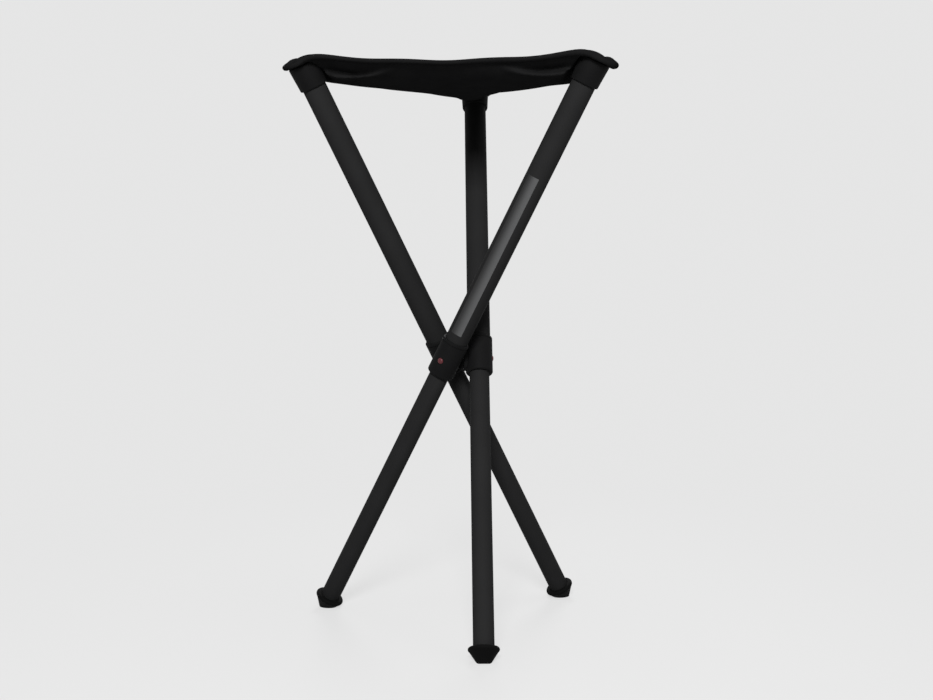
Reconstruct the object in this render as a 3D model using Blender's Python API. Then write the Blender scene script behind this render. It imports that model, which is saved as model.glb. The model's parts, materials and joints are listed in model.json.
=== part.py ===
# Telescopic tripod stool: three crossing legs on a folding hub, with a sling seat.
# Metres, +Z up, standing on Z = 0 with the hub's axis on Z.

import math

import bmesh
import bpy
from mathutils import Matrix, Vector

# Stance of the legs
LEG_SPLAY = math.radians(29.0)      # lean of each open leg from the vertical
HUB_OFFSET = 0.0234                 # from the stool's axis to each leg's axis
FOOT_REACH = 0.3159                 # from the pivot down the leg to the middle of the foot's ring
FOOT_RISE = 0.0113                  # height of that middle above the floor
CAP_REACH = 0.3244                  # from the pivot up the leg to the top cap's lower edge
LEG_HEADINGS = {"a": 120.0, "b": 240.0, "c": 0.0}   # where each pivot points, in degrees

# Tubes
UPPER_DIAMETER = 0.025
UPPER_WALL = 0.0012
LOWER_WALL = 0.0012
TUBE_GAP = 0.00055                  # between the upper tube's bore and the lower tube
LOWER_TOP = 0.046                   # upper end of the extended lower tube, above the pivot

# Sleeve at the hub
SLEEVE_WALL = 0.0018                # round the upper tube
SLEEVE_ABOVE = 0.024                # from the pivot to the sleeve's ends
SLEEVE_BELOW = 0.018
SLEEVE_SOCKET = 0.016               # depth to which the upper tube is set in
SLEEVE_TOP_ROUND = 0.0012
SLEEVE_BASE_ROUND = 0.0022
BOSS_DIAMETER = 0.018

# Hub core and pivot screws
CORE_INRADIUS = 0.0059
CORE_HEIGHT = 0.022
CORE_BEVEL = 0.0012
SCREW_DIAMETER = 0.004
SCREW_HEAD_DIAMETER = 0.008
SCREW_HEAD_HEIGHT = 0.0019
SCREW_HEAD_COVER = 0.00045          # the head lies this far below the sleeve's bore
SCREW_TIP = 0.0026                  # from the stool's axis to the screw's tip
SCREW_HOLE_SPARE = 0.0004           # drilled this far past the tip

# Release button and lock clip
BUTTON_DIAMETER = 0.0064
BUTTON_FLANGE_DIAMETER = 0.0082
BUTTON_FLANGE_HEIGHT = 0.0006
BUTTON_TRAVEL = 0.0015
BUTTON_PROUD = 0.0007               # how far its crown stands out of the sleeve
BUTTON_CROWN = 0.0005
BUTTON_SHOULDER = 0.00035           # height of the crown's rounded shoulder
CLIP_THICKNESS = 0.0007
CLIP_WIDTH = 0.007
CLIP_BELOW = 0.014                  # length of its arms below and above the stud
CLIP_ABOVE = 0.022

# Guide bush
BUSH_HEIGHT = 0.005
BUSH_SPIGOT = 0.009
BUSH_WALL = 0.00225                 # of its spigot

# Top cap and corner plug
CAP_LENGTH = 0.026
CAP_WALL = 0.00195                  # at its lower edge
CAP_FLARE = 0.00125                 # by which it is wider in radius at the top
CAP_ROOF = 0.0044
CAP_ROUND = 0.0016
PLUG_OVERHANG = 0.0005              # of its rim beyond the cap
PLUG_CROWN = 0.005
PLUG_STEM_DIAMETER = 0.010
PLUG_STEM_LENGTH = 0.008
PLUG_CHAMFER = 0.0008

# Foot
FOOT_RING_WIDTH = 0.0037            # by which the ring stands out from the neck
FOOT_RING = 0.0018                  # half the height of the ring's widest band
FOOT_RING_ARC = (-60, 75)           # the part of its round that shows, in degrees
FOOT_NECK_WALL = 0.00125            # round the lower tube
FOOT_NECK = 0.005                   # from the ring's middle to the top of the foot
FOOT_TIP_DIAMETER = 0.013
FOOT_TIP = 0.0145                   # from the ring's middle to the tip, before the floor cuts it
FOOT_SOCKET = 0.0095                # depth to which the lower tube is set in

# Seat
CLOTH_THICKNESS = 0.0016
SEAT_SAG = 0.0235                   # from the corners down to the middle of the cloth
SEAT_EDGE_DIP = 0.0053              # and down to the middle of each edge
BINDING_DIAMETER = 0.0066
BINDING_GAP = 0.0002                # between the binding and the plugs it goes round
CLOTH_EDGE_GAP = 0.0007             # between the binding and the middle of the cloth's edge
CORNER_RISE = 0.0031                # height of the binding above the plug's flat base, along the leg
CORNER_TURN = math.radians(68.0)    # half the angle that the binding turns round a corner
EDGE_HUMP = 0.015                   # distance from a corner's turn to the edge's hump
CORNER_TENT_SLOPE = 1.5             # slope of the cloth from a leg top towards the middle
CORNER_DROP_SLOPE = 1.27            # and towards the tip
CORNER_EASE = 0.0045                # by which the cloth runs on past the plug's rim before it drops
CLOTH_REST = 0.0012                 # between the cloth and the plugs under it
CLOTH_BLEND = 0.004                 # softness of the cloth where it leaves a leg top
EDGE_BOWL = 2.6                     # power of the sag's rise from the middle to an edge
CORNER_BOWL = 2.0                   # added to it towards a corner
BOWL_SPREAD = 0.3                   # how fast that grows away from the middle of an edge

# Fits and facets
CLEARANCE = 0.0003
TUBE_SIDES = 24
SMALL_SIDES = 14
ROUND_STEPS = 3
DOME_STEPS = 4
CORNER_STEPS = 8
EDGE_STEPS = 11
CLOTH_RINGS = (0.16, 0.36, 0.54, 0.67, 0.77, 0.84, 0.89, 0.93, 0.97, 1.0)
WELD = 1e-6
SHARP_ANGLE = math.radians(35.0)

# Sizes that follow from those above
SIN_SPLAY = math.sin(LEG_SPLAY)
COS_SPLAY = math.cos(LEG_SPLAY)
PIVOT_HEIGHT = FOOT_REACH * COS_SPLAY + FOOT_RISE
UPPER_RADIUS = UPPER_DIAMETER / 2
UPPER_BORE = UPPER_RADIUS - UPPER_WALL
LOWER_RADIUS = UPPER_BORE - TUBE_GAP
LOWER_BORE = LOWER_RADIUS - LOWER_WALL
SLEEVE_RADIUS = UPPER_RADIUS + CLEARANCE + SLEEVE_WALL
SLEEVE_DIAMETER = 2 * SLEEVE_RADIUS
GUIDE_RADIUS = LOWER_RADIUS + CLEARANCE
SOCKET_FLOOR = SLEEVE_ABOVE - SLEEVE_SOCKET
BOSS_FACE = HUB_OFFSET - CORE_INRADIUS - CLEARANCE
BUTTON_REST = GUIDE_RADIUS + BUTTON_TRAVEL
STUD_RADIUS = BUTTON_FLANGE_DIAMETER / 2
STUD_HOLE = STUD_RADIUS + CLEARANCE
CAP_TOP = CAP_REACH + CAP_LENGTH
TUBE_TOP = CAP_TOP - CAP_ROOF - CLEARANCE
PLUG_BASE = CAP_TOP + CLEARANCE
CAP_TOP_RADIUS = UPPER_RADIUS + CLEARANCE + CAP_WALL + CAP_FLARE
PLUG_RADIUS = CAP_TOP_RADIUS + PLUG_OVERHANG
DOME_RADIUS = (PLUG_RADIUS ** 2 + PLUG_CROWN ** 2) / (2 * PLUG_CROWN)
DOME_CENTRE = PLUG_BASE + PLUG_CROWN - DOME_RADIUS
BINDING_RADIUS = BINDING_DIAMETER / 2
CORNER_RADIUS = PLUG_RADIUS + BINDING_GAP + BINDING_RADIUS
CORNER_REACH = PLUG_BASE + CORNER_RISE
CORNER_HEIGHT = PIVOT_HEIGHT + CORNER_REACH * COS_SPLAY
SEAT_CENTRE_HEIGHT = CORNER_HEIGHT - SEAT_SAG
SEAT_EDGE_HEIGHT = CORNER_HEIGHT - SEAT_EDGE_DIP


def clear_scene():
    for thing in list(bpy.data.objects):
        bpy.data.objects.remove(thing, do_unlink=True)


def material(name, colour, roughness, metallic):
    made = bpy.data.materials.new(name)
    made.use_nodes = True
    shader = made.node_tree.nodes["Principled BSDF"]
    shader.inputs["Base Color"].default_value = (*colour, 1.0)
    shader.inputs["Roughness"].default_value = roughness
    shader.inputs["Metallic"].default_value = metallic
    made.diffuse_color = (*colour, 1.0)
    return made


def add_object(name, data, parent=None):
    made = bpy.data.objects.new(name, data)
    bpy.context.scene.collection.objects.link(made)
    made.parent = parent
    return made


def arc(centre, radius, start, end, steps):
    # points of an arc in a turned outline, as (radius, height), angles in degrees from +radius
    points = []
    for i in range(steps + 1):
        angle = math.radians(start + (end - start) * i / steps)
        points.append((centre[0] + radius * math.cos(angle), centre[1] + radius * math.sin(angle)))
    return points


def turned(name, outline, sides, closed):
    # turns an outline of (radius, height) points about Z
    shape = bmesh.new()
    verts = [shape.verts.new((radius, 0.0, height)) for radius, height in outline]
    edges = [shape.edges.new(pair) for pair in zip(verts, verts[1:])]
    if closed:
        edges.append(shape.edges.new((verts[-1], verts[0])))
    bmesh.ops.spin(shape, geom=verts + edges, cent=(0, 0, 0), axis=(0, 0, 1), angle=2 * math.pi,
                   steps=sides, use_merge=True)
    bmesh.ops.remove_doubles(shape, verts=shape.verts, dist=WELD)
    return finish_mesh(name, shape)


def finish_mesh(name, shape):
    bmesh.ops.recalc_face_normals(shape, faces=shape.faces)
    made = bpy.data.meshes.new(name)
    shape.to_mesh(made)
    shape.free()
    shade(made)
    return made


def shade(mesh):
    mesh.shade_smooth()
    mesh.set_sharp_from_angle(angle=SHARP_ANGLE)


def turned_along_x(name, outline, sides, outward):
    # the same about X, with heights counted along +X, or along -X if not outward
    made = turned(name, outline, sides, closed=False)
    made.transform(Matrix.Rotation(math.radians(90.0 if outward else -90.0), 4, "Y"))
    return made


def combined(name, body, others):
    # one mesh from a body and [(operation, mesh)]
    base = add_object(name, body)
    helpers = []
    for operation, mesh in others:
        helper = add_object(name + "_tool", mesh)
        helper.hide_render = True
        helper.display_type = "WIRE"
        step = base.modifiers.new(operation, "BOOLEAN")
        step.operation = operation
        step.solver = "EXACT"
        step.object = helper
        helpers.append(helper)
    graph = bpy.context.evaluated_depsgraph_get()
    made = bpy.data.meshes.new_from_object(base.evaluated_get(graph))
    for thing in [base] + helpers:
        bpy.data.objects.remove(thing, do_unlink=True)
    made.name = name
    made.materials.clear()
    shade(made)
    return made


def tube(name, outer, bore, low, high):
    return turned(name, [(bore, low), (outer, low), (outer, high), (bore, high)], TUBE_SIDES, closed=True)


def upper_tube():
    return tube("upper_tube", UPPER_RADIUS, UPPER_BORE, SOCKET_FLOOR + CLEARANCE, TUBE_TOP)


def lower_tube():
    body = tube("lower_tube", LOWER_RADIUS, LOWER_BORE, foot_socket_floor() + CLEARANCE, LOWER_TOP)
    hole = turned_along_x("stud_hole", [(0, 0), (STUD_HOLE, 0), (STUD_HOLE, UPPER_RADIUS), (0, UPPER_RADIUS)],
                          SMALL_SIDES, outward=True)
    return combined("lower_tube", body, [("DIFFERENCE", hole)])


def sleeve():
    # a barrel with a boss towards the hub, bored for the tubes, the button and the pivot screw
    low, high = -SLEEVE_BELOW, SLEEVE_ABOVE
    base_centre = (SLEEVE_RADIUS - SLEEVE_BASE_ROUND, low + SLEEVE_BASE_ROUND)
    top_centre = (SLEEVE_RADIUS - SLEEVE_TOP_ROUND, high - SLEEVE_TOP_ROUND)
    base_round = arc(base_centre, SLEEVE_BASE_ROUND, -90, 0, ROUND_STEPS)
    top_round = arc(top_centre, SLEEVE_TOP_ROUND, 0, 90, ROUND_STEPS)
    barrel = turned("barrel", [(0, low)] + base_round + top_round + [(0, high)], TUBE_SIDES, closed=False)
    boss = turned_along_x("boss", [(0, LOWER_BORE), (BOSS_DIAMETER / 2, LOWER_BORE),
                                   (BOSS_DIAMETER / 2, BOSS_FACE), (0, BOSS_FACE)], TUBE_SIDES, outward=False)
    socket = UPPER_RADIUS + CLEARANCE
    beyond = SLEEVE_DIAMETER
    bore = turned("bore", [(0, low - beyond), (GUIDE_RADIUS, low - beyond), (GUIDE_RADIUS, SOCKET_FLOOR),
                           (socket, SOCKET_FLOOR), (socket, high + beyond), (0, high + beyond)],
                  TUBE_SIDES, closed=False)
    ledge = BUTTON_REST + BUTTON_FLANGE_HEIGHT + CLEARANCE
    button_hole = BUTTON_DIAMETER / 2 + CLEARANCE
    well = turned_along_x("well", [(0, 0), (STUD_HOLE, 0), (STUD_HOLE, ledge), (button_hole, ledge),
                                   (button_hole, beyond), (0, beyond)], SMALL_SIDES, outward=True)
    head_hole = SCREW_HEAD_DIAMETER / 2 + CLEARANCE
    shank_hole = SCREW_DIAMETER / 2 + CLEARANCE
    seat = screw_head_under() + CLEARANCE
    way = [(0, 0), (head_hole, 0), (head_hole, seat), (shank_hole, seat), (shank_hole, HUB_OFFSET),
           (0, HUB_OFFSET)]
    screw_way = turned_along_x("screw_way", way, SMALL_SIDES, outward=False)
    return combined("sleeve", barrel, [("UNION", boss), ("DIFFERENCE", bore), ("DIFFERENCE", well),
                                       ("DIFFERENCE", screw_way)])


def screw_head_under():
    # the underside of the pivot screw's head, from the leg's axis towards the hub
    return GUIDE_RADIUS + SCREW_HEAD_COVER + SCREW_HEAD_HEIGHT


def pivot_screw():
    top = GUIDE_RADIUS + SCREW_HEAD_COVER
    under = screw_head_under()
    tip = HUB_OFFSET - SCREW_TIP
    head, shank = SCREW_HEAD_DIAMETER / 2, SCREW_DIAMETER / 2
    return turned_along_x("pivot_screw", [(0, top), (head, top), (head, under), (shank, under),
                                          (shank, tip - CLEARANCE), (shank - CLEARANCE, tip), (0, tip)],
                          SMALL_SIDES, outward=False)


def release_button():
    flange, stem = BUTTON_FLANGE_DIAMETER / 2, BUTTON_DIAMETER / 2
    shoulder = BUTTON_REST + BUTTON_FLANGE_HEIGHT
    crown = SLEEVE_RADIUS + BUTTON_PROUD
    edge = crown - BUTTON_CROWN
    outline = [(0, BUTTON_REST), (flange, BUTTON_REST), (flange, shoulder), (stem, shoulder), (stem, edge),
               (stem - BUTTON_CROWN, edge + BUTTON_SHOULDER), (0, crown)]
    return turned_along_x("release_button", outline, SMALL_SIDES, outward=True)


def lock_clip():
    # a hairpin of spring strip with a stud, which goes through the lower tube into the sleeve
    half = CLIP_WIDTH / 2
    outside = math.sqrt(LOWER_BORE ** 2 - half ** 2) - CLEARANCE
    inside = outside - CLIP_THICKNESS
    bend = 2 * DOME_STEPS
    path = [(outside, -CLIP_BELOW)] + arc((0, CLIP_ABOVE), outside, 0, 180, bend) + [(-outside, -CLIP_BELOW)]
    path += [(-inside, -CLIP_BELOW)] + arc((0, CLIP_ABOVE), inside, 180, 0, bend) + [(inside, -CLIP_BELOW)]
    shape = bmesh.new()
    face = shape.faces.new([shape.verts.new((x, -half, z)) for x, z in path])
    pushed = bmesh.ops.extrude_face_region(shape, geom=[face])["geom"]
    far_side = [v for v in pushed if isinstance(v, bmesh.types.BMVert)]
    bmesh.ops.translate(shape, vec=(0, CLIP_WIDTH, 0), verts=far_side)
    strip = finish_mesh("strip", shape)
    end = BUTTON_REST - CLEARANCE
    root = (inside + outside) / 2
    stud = turned_along_x("stud", [(0, root), (STUD_RADIUS, root), (STUD_RADIUS, end - CLEARANCE),
                                   (STUD_RADIUS - CLEARANCE, end), (0, end)], SMALL_SIDES, outward=True)
    return combined("lock_clip", strip, [("UNION", stud)])


def guide_bush():
    # a plug in the lower tube's end, with a collar that runs in the upper tube
    spigot = LOWER_BORE - CLEARANCE
    bore = spigot - BUSH_WALL
    collar = UPPER_BORE - CLEARANCE
    low = LOWER_TOP + CLEARANCE
    return turned("guide_bush", [(bore, low - BUSH_SPIGOT), (spigot, low - BUSH_SPIGOT), (spigot, low),
                                 (collar, low), (collar, low + BUSH_HEIGHT), (bore, low + BUSH_HEIGHT)],
                  TUBE_SIDES, closed=True)


def top_cap():
    # a tapered socket over the upper tube's end, with a hole in its roof for the corner plug
    bore = UPPER_RADIUS + CLEARANCE
    edge = bore + CAP_WALL
    stem_hole = PLUG_STEM_DIAMETER / 2 + CLEARANCE
    roof = CAP_TOP - CAP_ROOF
    lip = arc((edge - CAP_ROUND, CAP_REACH + CAP_ROUND), CAP_ROUND, -90, 0, ROUND_STEPS)
    brow = arc((CAP_TOP_RADIUS - CAP_ROUND, CAP_TOP - CAP_ROUND), CAP_ROUND, 0, 90, ROUND_STEPS)
    outline = [(bore, CAP_REACH)] + lip + brow + [(stem_hole, CAP_TOP), (stem_hole, roof), (bore, roof)]
    return turned("top_cap", outline, TUBE_SIDES, closed=True)


def corner_plug():
    # a domed knob under the corner of the cloth, with a stem in the cap
    stem = PLUG_STEM_DIAMETER / 2
    low = CAP_TOP - PLUG_STEM_LENGTH
    rim = math.degrees(math.asin(PLUG_RADIUS / DOME_RADIUS))
    dome = arc((0, DOME_CENTRE), DOME_RADIUS, 90 - rim, 90, DOME_STEPS)
    outline = [(0, low), (stem - PLUG_CHAMFER, low), (stem, low + PLUG_CHAMFER), (stem, PLUG_BASE)] + dome
    return turned("corner_plug", outline, TUBE_SIDES, closed=False)


def foot_socket_floor():
    return FOOT_NECK - FOOT_REACH - FOOT_SOCKET


def foot():
    # a ringed cone round the lower tube's end, cut flat where it stands on the floor
    mouth = LOWER_RADIUS + CLEARANCE
    neck = mouth + FOOT_NECK_WALL
    ring = neck + FOOT_RING_WIDTH
    tip = FOOT_TIP_DIAMETER / 2
    middle = -FOOT_REACH
    top = middle + FOOT_NECK
    shoulder = arc((ring - FOOT_RING, middle), FOOT_RING, *FOOT_RING_ARC, 2 * ROUND_STEPS)
    outline = [(0, middle - FOOT_TIP), (tip, middle - FOOT_TIP)] + shoulder
    outline += [(neck, middle + FOOT_RING + CLEARANCE), (neck, top), (mouth, top),
                (mouth, foot_socket_floor()), (0, foot_socket_floor())]
    made = turned("foot", outline, TUBE_SIDES, closed=False)
    shape = bmesh.new()
    shape.from_mesh(made)
    floor_point = (0, 0, -PIVOT_HEIGHT / COS_SPLAY)
    floor_normal = (0, -SIN_SPLAY, COS_SPLAY)
    everything = shape.verts[:] + shape.edges[:] + shape.faces[:]
    cut = bmesh.ops.bisect_plane(shape, geom=everything, plane_co=floor_point, plane_no=floor_normal,
                                 clear_inner=True, dist=WELD)["geom_cut"]
    bmesh.ops.edgenet_fill(shape, edges=[e for e in cut if isinstance(e, bmesh.types.BMEdge)])
    return finish_mesh("foot", shape)


def hub_core():
    # a three-sided block with a face and a screw hole for each leg
    shape = bmesh.new()
    corner = 2 * CORE_INRADIUS
    bmesh.ops.create_cone(shape, cap_ends=True, segments=3, radius1=corner, radius2=corner, depth=CORE_HEIGHT)
    shape.normal_update()
    side = next(f for f in shape.faces if abs(f.normal.z) < 0.5)
    turn = math.atan2(side.normal.y, side.normal.x)
    bmesh.ops.rotate(shape, verts=shape.verts, matrix=Matrix.Rotation(-turn, 3, "Z"))
    bmesh.ops.bevel(shape, geom=shape.edges, offset=CORE_BEVEL, segments=2, profile=0.5, affect="EDGES")
    block = finish_mesh("hub_core", shape)
    hole = SCREW_DIAMETER / 2 + CLEARANCE
    end = SCREW_TIP - SCREW_HOLE_SPARE
    drills = []
    for heading in LEG_HEADINGS.values():
        drill = turned_along_x("drill", [(0, end), (hole, end), (hole, HUB_OFFSET), (0, HUB_OFFSET)],
                               SMALL_SIDES, outward=True)
        drill.transform(Matrix.Rotation(math.radians(heading), 4, "Z"))
        drills.append(("DIFFERENCE", drill))
    return combined("hub_core", block, drills)


def leg_directions(heading):
    # the pivot's direction, the way the leg leans, the leg's own direction, and the downhill side of its end
    turn = math.radians(heading)
    pivot = Vector((math.cos(turn), math.sin(turn), 0))
    lean = Vector((-math.sin(turn), math.cos(turn), 0))
    up = Vector((0, 0, 1))
    along = SIN_SPLAY * lean + COS_SPLAY * up
    downhill = COS_SPLAY * lean - SIN_SPLAY * up
    return pivot, lean, along, downhill


def leg_point(heading, reach):
    pivot, _, along, _ = leg_directions(heading)
    return HUB_OFFSET * pivot + Vector((0, 0, PIVOT_HEIGHT)) + reach * along


def corner_run(heading, radius):
    # the binding's way round one leg top, with its directions at both ends
    pivot, _, _, downhill = leg_directions(heading)
    centre = leg_point(heading, CORNER_REACH)
    middle = math.atan2(HUB_OFFSET, CORNER_REACH * SIN_SPLAY)
    points, ways = [], []
    for i in range(CORNER_STEPS + 1):
        angle = middle + CORNER_TURN * (1 - 2 * i / CORNER_STEPS)
        points.append(centre + radius * (math.cos(angle) * downhill + math.sin(angle) * pivot))
        ways.append(math.sin(angle) * downhill - math.cos(angle) * pivot)
    return points, ways[0], ways[-1]


def edge_run(start, start_way, end, end_way):
    # one edge of the seat between two corners: bowed inward, with a hump beside each corner
    span = (end - start).to_2d().length
    start_rise = start_way.z / start_way.to_2d().length
    end_fall = -end_way.z / end_way.to_2d().length
    a, b = start.to_2d(), end.to_2d()
    out, back = start_way.to_2d().normalized() * span, end_way.to_2d().normalized() * span
    points = []
    for i in range(1, EDGE_STEPS):
        t = i / EDGE_STEPS
        flat = ((2 * t ** 3 - 3 * t ** 2 + 1) * a + (t ** 3 - 2 * t ** 2 + t) * out
                + (3 * t ** 2 - 2 * t ** 3) * b + (t ** 3 - t ** 2) * back)
        ends = (1 - t) * start.z + t * end.z
        sag = (SEAT_EDGE_HEIGHT - ends) * math.sin(math.pi * t) ** 2
        near, far = t * span, (1 - t) * span
        hump = start_rise * near * math.exp(-near / EDGE_HUMP) + end_fall * far * math.exp(-far / EDGE_HUMP)
        points.append(Vector((*flat, ends + sag + hump)))
    return points


def seat_outline(inset):
    # the closed line of the seat's edge, moved in from the binding's middle
    headings = [LEG_HEADINGS[leg] for leg in ("c", "a", "b")]
    corners = [corner_run(heading, CORNER_RADIUS - inset) for heading in headings]
    points = []
    for i, (run, first_way, last_way) in enumerate(corners):
        next_run, next_way, _ = corners[(i + 1) % len(corners)]
        points += run + edge_run(run[-1], last_way, next_run[0], next_way)
    return points


def plug_rim_distance(outward_share, sideways_share):
    # from the top of the dome's sphere to the plug's tilted rim, seen from above
    shift = (DOME_RADIUS - PLUG_CROWN) * SIN_SPLAY
    long, wide = PLUG_RADIUS * COS_SPLAY, PLUG_RADIUS
    curve = (outward_share / long) ** 2 + (sideways_share / wide) ** 2
    lead = shift * outward_share / long ** 2
    return (lead + math.sqrt(lead ** 2 + curve * (1 - (shift / long) ** 2))) / curve


def tent_height(x, y, heading):
    # the cloth's middle where it lies on a plug's dome and drops along the cap from the plug's rim
    centre = leg_point(heading, DOME_CENTRE)
    away = Vector((x, y)) - centre.to_2d()
    distance = away.length
    outward = centre.to_2d().normalized()
    way = away / distance if distance > WELD else outward
    outward_share = way.dot(outward)
    share = (1 + outward_share) / 2
    slope = CORNER_TENT_SLOPE + (CORNER_DROP_SLOPE - CORNER_TENT_SLOPE) * share ** 2
    radius = DOME_RADIUS + CLOTH_REST + CLOTH_THICKNESS
    leave = plug_rim_distance(outward_share, way.cross(outward)) + CORNER_EASE
    on_dome = math.sqrt(radius ** 2 - min(distance, leave) ** 2)
    return centre.z + on_dome - slope * max(0.0, distance - leave)


def soft_max(a, b):
    gap = max(0.0, CLOTH_BLEND - abs(a - b))
    return max(a, b) + gap ** 2 / (4 * CLOTH_BLEND)


def seat_cloth():
    # rings from the sagging middle out to the binding
    rim = seat_outline(BINDING_RADIUS + CLOTH_EDGE_GAP)
    reaches = [point.to_2d().length for point in rim]
    near, far = min(reaches), max(reaches)
    shape = bmesh.new()
    middle = shape.verts.new((0, 0, SEAT_CENTRE_HEIGHT))
    rings = []
    for share in CLOTH_RINGS:
        ring = []
        for point, reach in zip(rim, reaches):
            x, y = share * point.x, share * point.y
            power = EDGE_BOWL + CORNER_BOWL * ((reach - near) / (far - near)) ** BOWL_SPREAD
            height = SEAT_CENTRE_HEIGHT + (point.z - SEAT_CENTRE_HEIGHT) * share ** power
            for heading in LEG_HEADINGS.values():
                if share < 1.0:
                    height = soft_max(height, tent_height(x, y, heading))
            ring.append(shape.verts.new((x, y, height)))
        rings.append(ring)
    count = len(rim)
    for i in range(count):
        shape.faces.new((middle, rings[0][i], rings[0][(i + 1) % count]))
    for inner, outer in zip(rings, rings[1:]):
        for i in range(count):
            j = (i + 1) % count
            shape.faces.new((inner[i], outer[i], outer[j], inner[j]))
    return finish_mesh("seat_cloth", shape)


def seat_binding():
    line = bpy.data.curves.new("seat_binding", "CURVE")
    line.dimensions = "3D"
    line.bevel_depth = BINDING_RADIUS
    line.bevel_resolution = 2
    points = seat_outline(0.0)
    run = line.splines.new("POLY")
    run.points.add(len(points) - 1)
    for place, point in zip(run.points, points):
        place.co = (*point, 1.0)
    run.use_cyclic_u = True
    return line


def add_seat(cloth_finish, binding_finish):
    cloth = add_object("seat_cloth", seat_cloth())
    cloth.data.materials.append(cloth_finish)
    wall = cloth.modifiers.new("thickness", "SOLIDIFY")
    wall.thickness = CLOTH_THICKNESS
    wall.offset = 0.0
    binding = add_object("seat_binding", seat_binding())
    binding.data.materials.append(binding_finish)


def add_leg(leg, heading, meshes, finishes):
    # all pieces of one leg hang on an empty on its pivot, with Z up the leg and X outward
    pivot, _, along, downhill = leg_directions(heading)
    place = Matrix((pivot, downhill, along)).transposed().to_4x4()
    place.translation = leg_point(heading, 0.0)
    carrier = add_object("leg_" + leg, None)
    carrier.matrix_world = place
    for name, mesh in meshes.items():
        add_object(name + "_" + leg, mesh, carrier)
        if not mesh.materials:
            mesh.materials.append(finishes[name])


def main():
    clear_scene()
    black_tube = material("black_tube", (0.022, 0.022, 0.024), 0.42, 0.6)
    black_plastic = material("black_plastic", (0.012, 0.012, 0.013), 0.5, 0.0)
    black_rubber = material("black_rubber", (0.008, 0.008, 0.008), 0.75, 0.0)
    red_plastic = material("red_plastic", (0.35, 0.02, 0.02), 0.35, 0.0)
    nylon = material("nylon", (0.05, 0.05, 0.05), 0.6, 0.0)
    steel = material("steel", (0.45, 0.45, 0.46), 0.35, 1.0)
    black_cloth = material("black_cloth", (0.008, 0.008, 0.009), 0.85, 0.0)
    black_tape = material("black_tape", (0.010, 0.010, 0.011), 0.8, 0.0)
    finishes = {"upper_tube": black_tube, "lower_tube": black_tube, "sleeve": black_plastic,
                "top_cap": black_plastic, "corner_plug": black_plastic, "foot": black_rubber,
                "release_button": red_plastic, "guide_bush": nylon, "lock_clip": steel, "pivot_screw": steel}
    meshes = {"upper_tube": upper_tube(), "lower_tube": lower_tube(), "sleeve": sleeve(),
              "top_cap": top_cap(), "corner_plug": corner_plug(), "foot": foot(),
              "release_button": release_button(), "guide_bush": guide_bush(), "lock_clip": lock_clip(),
              "pivot_screw": pivot_screw()}
    for leg, heading in LEG_HEADINGS.items():
        add_leg(leg, heading, meshes, finishes)
    core = add_object("hub_core", hub_core())
    core.location = (0, 0, PIVOT_HEIGHT)
    core.data.materials.append(black_plastic)
    add_seat(black_cloth, black_tape)


main()
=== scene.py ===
# Looks of a folding tripod stool: satin black tubes, moulded fittings, rubber feet and a sling seat.
# Metres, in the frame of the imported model.

import json
import math

import bpy
from mathutils import Matrix, Vector
from mathutils.kdtree import KDTree


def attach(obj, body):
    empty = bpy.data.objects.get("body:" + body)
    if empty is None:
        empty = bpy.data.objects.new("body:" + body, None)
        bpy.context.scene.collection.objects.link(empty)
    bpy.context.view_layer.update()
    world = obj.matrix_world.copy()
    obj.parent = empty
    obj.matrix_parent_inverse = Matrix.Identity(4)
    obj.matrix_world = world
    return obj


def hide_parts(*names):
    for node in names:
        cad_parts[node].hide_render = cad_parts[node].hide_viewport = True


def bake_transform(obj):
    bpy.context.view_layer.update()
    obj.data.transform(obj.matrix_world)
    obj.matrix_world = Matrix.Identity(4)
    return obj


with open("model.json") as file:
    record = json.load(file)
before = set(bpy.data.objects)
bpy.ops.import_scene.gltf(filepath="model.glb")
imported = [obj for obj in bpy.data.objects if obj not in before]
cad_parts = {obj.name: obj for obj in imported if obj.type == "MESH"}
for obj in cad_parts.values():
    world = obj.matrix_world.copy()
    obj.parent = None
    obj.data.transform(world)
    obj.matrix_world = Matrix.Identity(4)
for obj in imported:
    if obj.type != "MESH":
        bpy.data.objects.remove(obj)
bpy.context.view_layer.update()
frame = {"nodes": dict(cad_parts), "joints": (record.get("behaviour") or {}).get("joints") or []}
print("frame loaded,", len(frame["nodes"]), "nodes")

legNames = ("a", "b", "c")
joints = {joint["name"]: joint for joint in frame["joints"]}
weldDistance = 1e-6
toolReach = 0.02  # cutting tools end this far from the leg's axis, outside every fitting


def legFrame(leg):
    # origin on the leg's pivot, x outward along the pivot, z up the leg
    outward = Vector(joints["fold_" + leg]["axis"])
    upward = Vector(joints["telescope_" + leg]["axis"])
    place = Matrix((outward, upward.cross(outward), upward)).transposed().to_4x4()
    place.translation = Vector(joints["fold_" + leg]["pos_m"])
    return place


legPlace = {leg: legFrame(leg) for leg in legNames}


# small helpers for working as by hand

def clearSelection():
    if bpy.context.object and bpy.context.object.mode != "OBJECT":
        bpy.ops.object.mode_set(mode="OBJECT")
    bpy.ops.object.select_all(action="DESELECT")


def pick(piece):
    clearSelection()
    bpy.context.view_layer.objects.active = piece
    piece.select_set(True)


def startEditing(piece):
    pick(piece)
    bpy.ops.object.mode_set(mode="EDIT")
    bpy.ops.mesh.select_all(action="SELECT")


def bend(centre, radius, startAngle, endAngle, steps=6):
    # points of a rounded corner in a profile, angles in degrees from outward
    points = []
    for i in range(steps + 1):
        angle = math.radians(startAngle + (endAngle - startAngle) * i / steps)
        points.append((centre[0] + radius * math.cos(angle), centre[1] + radius * math.sin(angle)))
    return points


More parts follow.
